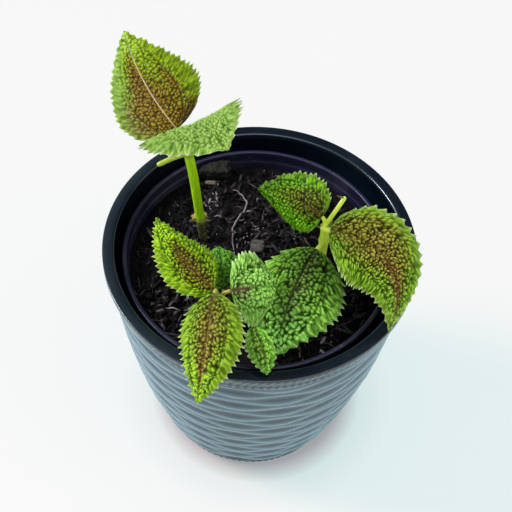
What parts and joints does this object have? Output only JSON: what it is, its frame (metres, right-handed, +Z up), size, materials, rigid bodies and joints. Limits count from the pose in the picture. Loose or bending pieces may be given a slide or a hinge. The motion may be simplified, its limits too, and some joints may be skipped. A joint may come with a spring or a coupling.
{
  "type": "potted friendship plant",
  "caption": "Young friendship plant with quilted, toothed green and bronze leaves, standing in a nursery pot inside a dark wavy-ribbed cover pot.",
  "frame": {"origin": "middle of the cover pot's flat base, on the surface it stands on", "axes": "+Z up, and -Y towards the front of the plant, the side the picture looks at"},
  "size_m": [0.13, 0.1437, 0.2003],
  "materials": {
    "cover_pot": "satin gloss moulded plastic, anthracite",
    "nursery_pot": "thin dull moulded plastic, near black",
    "potting_soil": "damp loose peat mix with fibres",
    "dry_root": "pale dry root",
    "bark_chip": "rough dry bark",
    "stem": "smooth, moist, finely hairy",
    "leaf": "quilted living leaf, satin, bronze along the veins"
  },
  "bodies": {
    "root": {"outer_pot": "cover_pot", "inner_pot": "nursery_pot", "soil": "potting_soil", "soil_root": "dry_root", "soil_chip": "bark_chip", "soil_bark": "bark_chip", "stem_a": "stem", "stem_b": "stem", "stem_c": "stem", "leaf_a1": "leaf", "leaf_a2": "leaf", "leaf_b1": "leaf", "leaf_b2": "leaf", "leaf_b3": "leaf", "leaf_c1": "leaf", "leaf_c2": "leaf", "leaf_c3": "leaf", "leaf_c4": "leaf", "leaf_c5": "leaf"}
  },
  "joints": []
}
